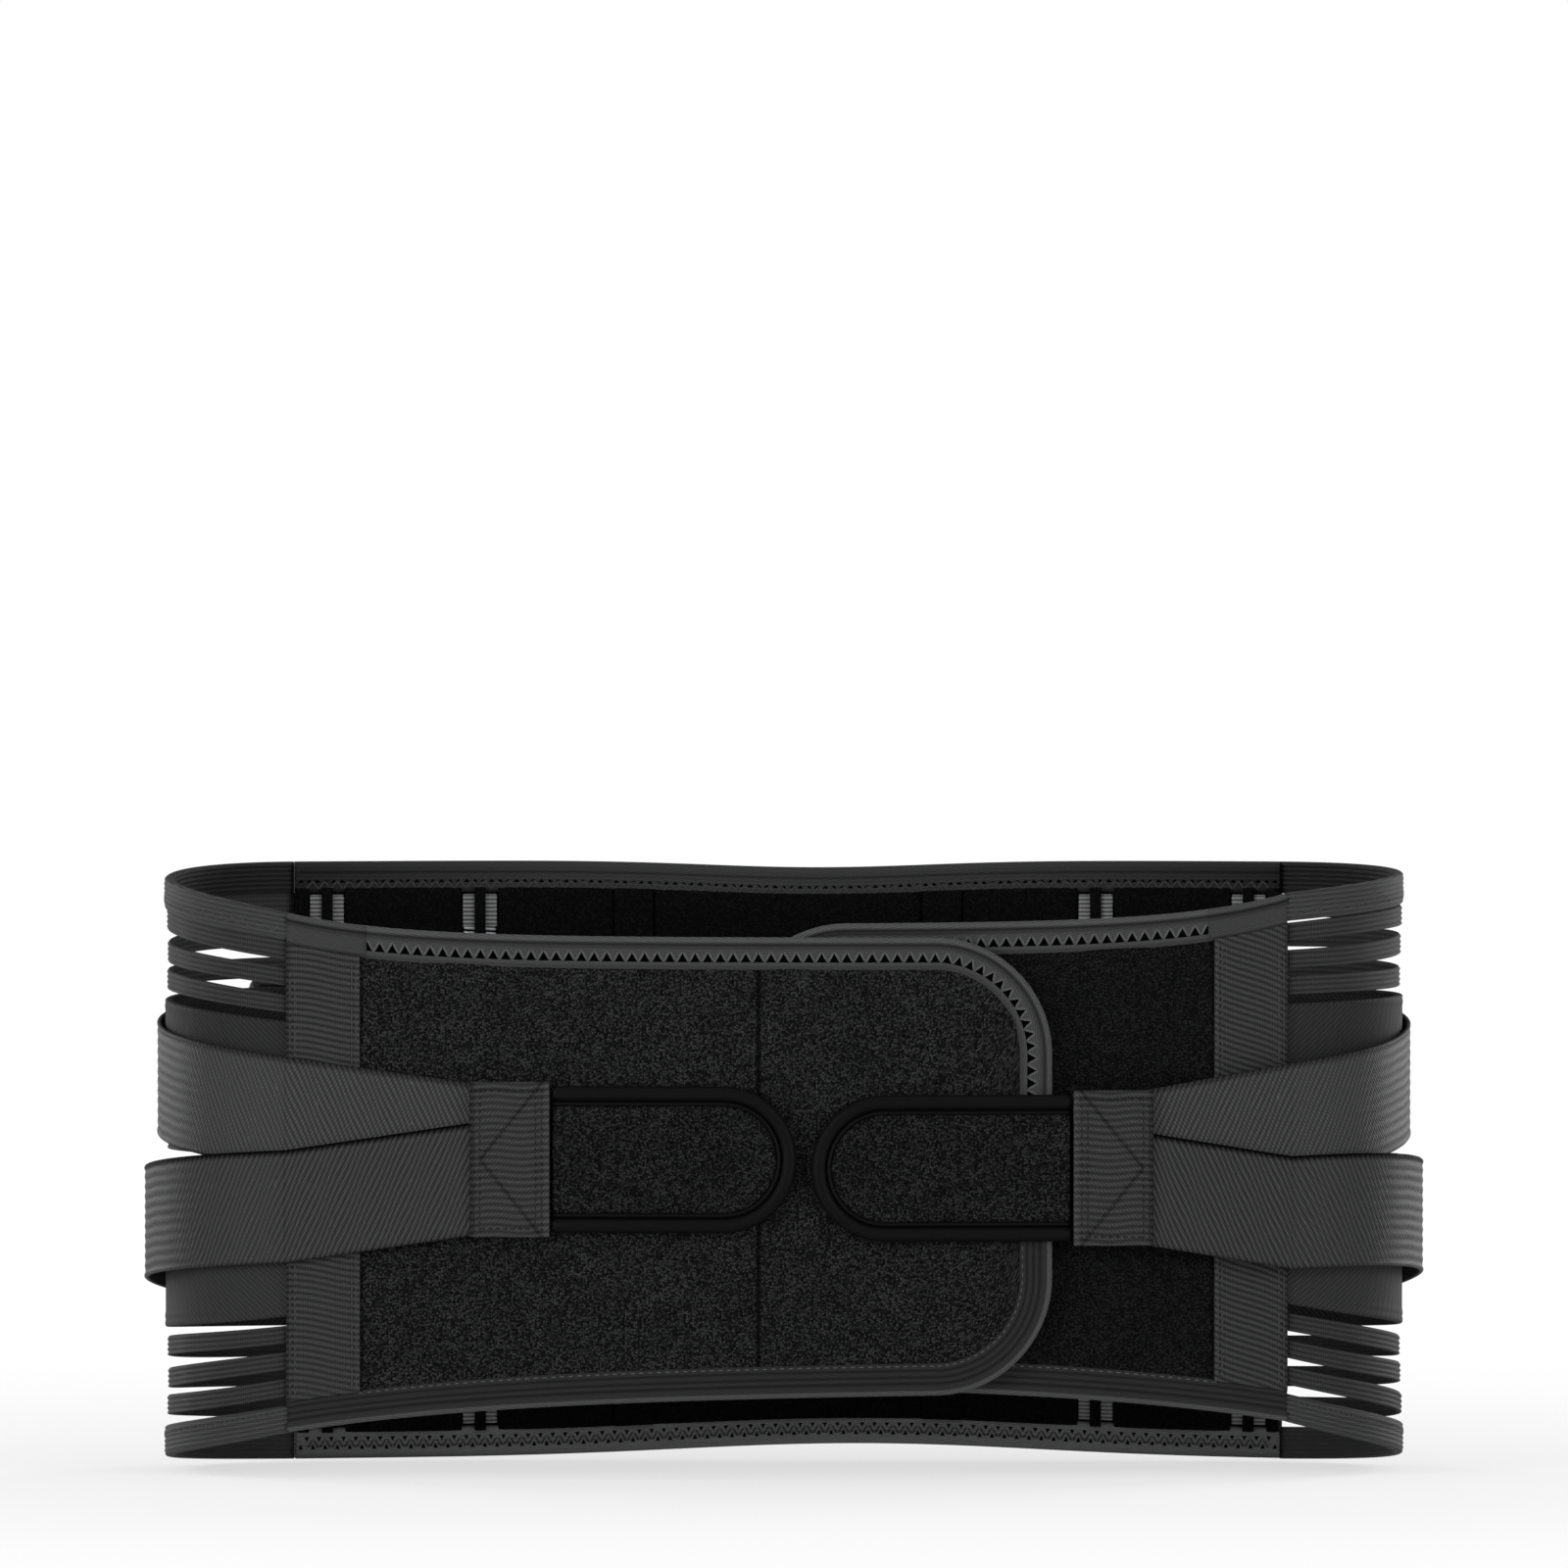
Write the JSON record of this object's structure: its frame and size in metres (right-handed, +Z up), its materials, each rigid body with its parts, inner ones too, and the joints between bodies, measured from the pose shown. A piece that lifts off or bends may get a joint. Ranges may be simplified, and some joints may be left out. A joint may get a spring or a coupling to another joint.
{
  "type": "lumbar support belt",
  "caption": "Black wrap-around lumbar belt: stayed mesh back, slit elastic sides, overlapping hook-and-loop front wings, and pull straps that run through rings to round-ended tabs.",
  "frame": {"origin": "centre of the belt's bounding box, on the plane of its lower edge", "axes": "+Z up; +Y the way the wearer faces, so the closure is on +Y and the lumbar panel on -Y; +X the wearer's right"},
  "size_m": [0.438, 0.1457, 0.206],
  "materials": {
    "spacer_mesh": "open knitted spacer mesh",
    "lining_knit": "smooth knit",
    "tip_plastic": "moulded",
    "spring_steel": "flattened spiral wire",
    "ring_metal": "dark satin coat",
    "ribbed_elastic": "fine ribbed elastic",
    "binding_tape": "matte woven tape",
    "hook_tape": "hook fastener",
    "loop_velour": "brushed loop pile",
    "webbing": "ribbed webbing"
  },
  "bodies": {
    "back": {"mesh_panel": "spacer_mesh", "lining": "lining_knit", "stay_1": "spring_steel", "stay_2": "spring_steel", "stay_3": "spring_steel", "stay_4": "spring_steel", "stay_5": "spring_steel", "stay_6": "spring_steel", "stay_tips": "tip_plastic", "centre_band": "webbing", "channel_band_1": "webbing", "channel_band_2": "webbing", "channel_band_3": "webbing", "channel_band_4": "webbing", "channel_band_5": "webbing", "channel_band_6": "webbing", "back_top_binding": "binding_tape", "back_bottom_binding": "binding_tape", "upper_right_tension_strap": "ribbed_elastic", "lower_right_tension_strap": "ribbed_elastic", "upper_left_tension_strap": "ribbed_elastic", "lower_left_tension_strap": "ribbed_elastic", "right_upper_strips": "ribbed_elastic", "right_side_band": "ribbed_elastic", "right_middle_strips": "ribbed_elastic", "right_lower_strips": "ribbed_elastic", "right_top_tape": "binding_tape", "right_bottom_tape": "binding_tape", "left_upper_strips": "ribbed_elastic", "left_side_band": "ribbed_elastic", "left_middle_strips": "ribbed_elastic", "left_lower_strips": "ribbed_elastic", "left_top_tape": "binding_tape", "left_bottom_tape": "binding_tape"},
    "outer_wing": {"outer_wing_panel": "loop_velour", "outer_wing_binding": "binding_tape", "outer_wing_band": "webbing", "outer_wing_hook_patch": "hook_tape"},
    "inner_wing": {"inner_wing_panel": "loop_velour", "inner_wing_binding": "binding_tape", "inner_wing_band": "webbing"},
    "right_pull": {"upper_right_pull_strap": "webbing", "lower_right_pull_strap": "webbing", "right_patch": "webbing"},
    "left_pull": {"upper_left_pull_strap": "webbing", "lower_left_pull_strap": "webbing", "left_patch": "webbing"},
    "right_tab": {"right_tab_pad": "loop_velour", "right_tab_piping": "binding_tape", "right_tab_hook_pad": "hook_tape"},
    "left_tab": {"left_tab_pad": "loop_velour", "left_tab_piping": "binding_tape", "left_tab_hook_pad": "hook_tape"},
    "upper_right_ring_body": {"upper_right_ring": "ring_metal"},
    "lower_right_ring_body": {"lower_right_ring": "ring_metal"},
    "upper_left_ring_body": {"upper_left_ring": "ring_metal"},
    "lower_left_ring_body": {"lower_left_ring": "ring_metal"}
  },
  "joints": [
    {"name": "outer_wing_open", "type": "hinge", "parent": "back", "child": "outer_wing", "pos_m": [0.16964, 0.05322, 0.1], "axis": [0, 0, -1], "range_deg": [0, 48]},
    {"name": "inner_wing_open", "type": "hinge", "parent": "back", "child": "inner_wing", "pos_m": [-0.17179, 0.04802, 0.1], "axis": [0, 0, 1], "range_deg": [0, 36]},
    {"name": "right_pull_swing", "type": "hinge", "parent": "outer_wing", "child": "right_pull", "pos_m": [0.16964, 0.05322, 0.1], "axis": [0, 0, -1], "range_deg": [0, 100], "deforming": ["upper_right_pull_strap", "lower_right_pull_strap"]},
    {"name": "left_pull_swing", "type": "hinge", "parent": "inner_wing", "child": "left_pull", "pos_m": [-0.17179, 0.04802, 0.1], "axis": [0, 0, 1], "range_deg": [0, 120], "deforming": ["upper_left_pull_strap", "lower_left_pull_strap"]},
    {"name": "right_tab_peel", "type": "hinge", "parent": "right_pull", "child": "right_tab", "pos_m": [0.07968, 0.07008, 0.1], "axis": [0, 0, -1], "range_deg": [0, 100]},
    {"name": "left_tab_peel", "type": "hinge", "parent": "left_pull", "child": "left_tab", "pos_m": [-0.09847, 0.06852, 0.1], "axis": [0, 0, 1], "range_deg": [0, 100]},
    {"name": "upper_right_ring_tilt", "type": "hinge", "parent": "back", "child": "upper_right_ring_body", "pos_m": [0.17033, -0.05618, 0.1], "axis": [0, 0, -1], "range_deg": [-8, 8]},
    {"name": "lower_right_ring_tilt", "type": "hinge", "parent": "back", "child": "lower_right_ring_body", "pos_m": [0.17033, -0.05618, 0.1], "axis": [0, 0, -1], "range_deg": [-8, 8]},
    {"name": "upper_left_ring_tilt", "type": "hinge", "parent": "back", "child": "upper_left_ring_body", "pos_m": [-0.17242, -0.05628, 0.1], "axis": [0, 0, 1], "range_deg": [-8, 8]},
    {"name": "lower_left_ring_tilt", "type": "hinge", "parent": "back", "child": "lower_left_ring_body", "pos_m": [-0.17242, -0.05628, 0.1], "axis": [0, 0, 1], "range_deg": [-8, 8]}
  ],
  "couplings": [
    {"joint": "inner_wing_open", "follows": "outer_wing_open", "ratio": 0.75},
    {"joint": "left_pull_swing", "follows": "outer_wing_open", "ratio": 2.5}
  ]
}
